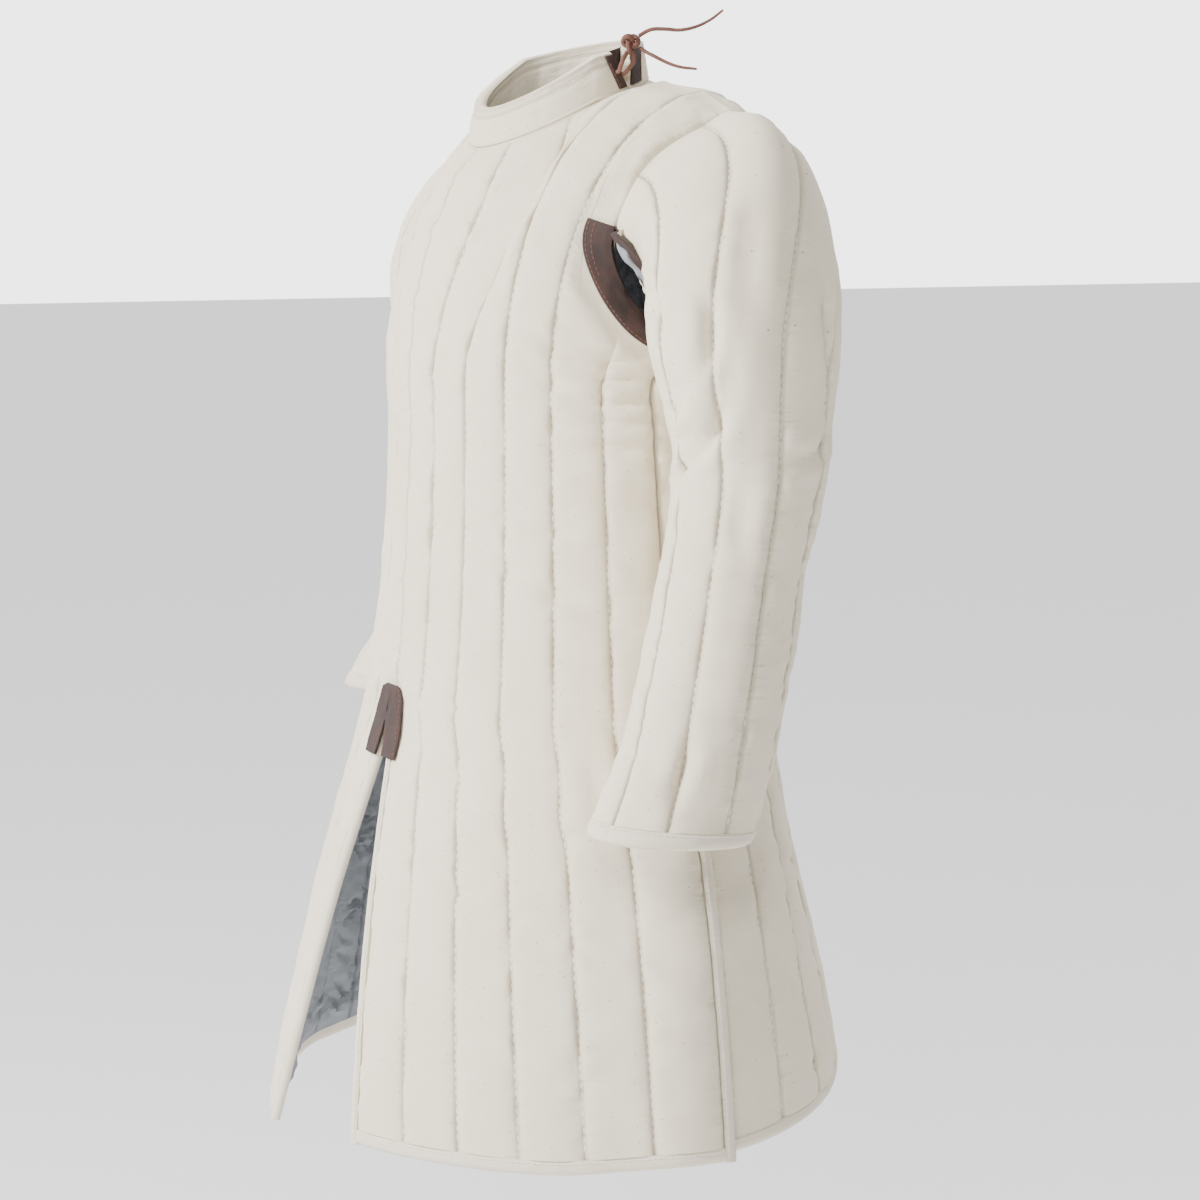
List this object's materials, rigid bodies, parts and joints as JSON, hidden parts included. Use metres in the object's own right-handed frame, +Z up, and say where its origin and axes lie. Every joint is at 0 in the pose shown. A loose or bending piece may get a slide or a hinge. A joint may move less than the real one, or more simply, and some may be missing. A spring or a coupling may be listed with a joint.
{
  "type": "gambeson",
  "caption": "Quilted padded gambeson in worn shape, long sleeves, low standing collar with a tied notch, slit skirts and open armpits faced with leather.",
  "frame": {"origin": "on the neck axis at the height of the shoulders, where the wearer holds the garment up", "axes": "+Z up along the body, -Y the front of the wearer, +X the wearer's left"},
  "size_m": [0.7988, 0.4765, 0.9874],
  "materials": {
    "armpit_facing_left": "smooth dark brown leather",
    "armpit_facing_right": "smooth dark brown leather",
    "back": "undyed cotton canvas, quilted over padding",
    "collar": "undyed cotton canvas, quilted over padding",
    "collar_facing_back": "smooth dark brown leather",
    "collar_facing_front": "smooth dark brown leather",
    "collar_underlap": "smooth dark brown leather",
    "cuff_strip_left": "bound cotton canvas edge",
    "cuff_strip_right": "bound cotton canvas edge",
    "front": "undyed cotton canvas, quilted over padding",
    "hem_strip_back_left": "bound cotton canvas edge",
    "hem_strip_back_right": "bound cotton canvas edge",
    "hem_strip_front_left": "bound cotton canvas edge",
    "hem_strip_front_right": "bound cotton canvas edge",
    "sleeve_left": "undyed cotton canvas, quilted over padding",
    "sleeve_right": "undyed cotton canvas, quilted over padding",
    "slit_arch": "smooth dark brown leather",
    "slit_strip_back_left": "bound cotton canvas edge",
    "slit_strip_back_right": "bound cotton canvas edge",
    "slit_strip_front_left": "bound cotton canvas edge",
    "slit_strip_front_right": "bound cotton canvas edge",
    "thong_end_lower": "round-cut brown thong leather",
    "thong_end_upper": "round-cut brown thong leather",
    "thong_knot": "round-cut brown thong leather",
    "thong_strand_back": "round-cut brown thong leather",
    "thong_strand_front": "round-cut brown thong leather",
    "vent_strip_back_left": "bound cotton canvas edge",
    "vent_strip_back_right": "bound cotton canvas edge",
    "vent_strip_front_left": "bound cotton canvas edge",
    "vent_strip_front_right": "bound cotton canvas edge"
  },
  "bodies": {
    "root": {"armpit_facing_left": "armpit_facing_left", "armpit_facing_right": "armpit_facing_right", "back": "back", "collar": "collar", "collar_facing_back": "collar_facing_back", "collar_facing_front": "collar_facing_front", "collar_underlap": "collar_underlap", "cuff_strip_left": "cuff_strip_left", "cuff_strip_right": "cuff_strip_right", "front": "front", "hem_strip_back_left": "hem_strip_back_left", "hem_strip_back_right": "hem_strip_back_right", "hem_strip_front_left": "hem_strip_front_left", "hem_strip_front_right": "hem_strip_front_right", "sleeve_left": "sleeve_left", "sleeve_right": "sleeve_right", "slit_arch": "slit_arch", "slit_strip_back_left": "slit_strip_back_left", "slit_strip_back_right": "slit_strip_back_right", "slit_strip_front_left": "slit_strip_front_left", "slit_strip_front_right": "slit_strip_front_right", "thong_end_lower": "thong_end_lower", "thong_end_upper": "thong_end_upper", "thong_knot": "thong_knot", "thong_strand_back": "thong_strand_back", "thong_strand_front": "thong_strand_front", "vent_strip_back_left": "vent_strip_back_left", "vent_strip_back_right": "vent_strip_back_right", "vent_strip_front_left": "vent_strip_front_left", "vent_strip_front_right": "vent_strip_front_right"}
  },
  "joints": []
}
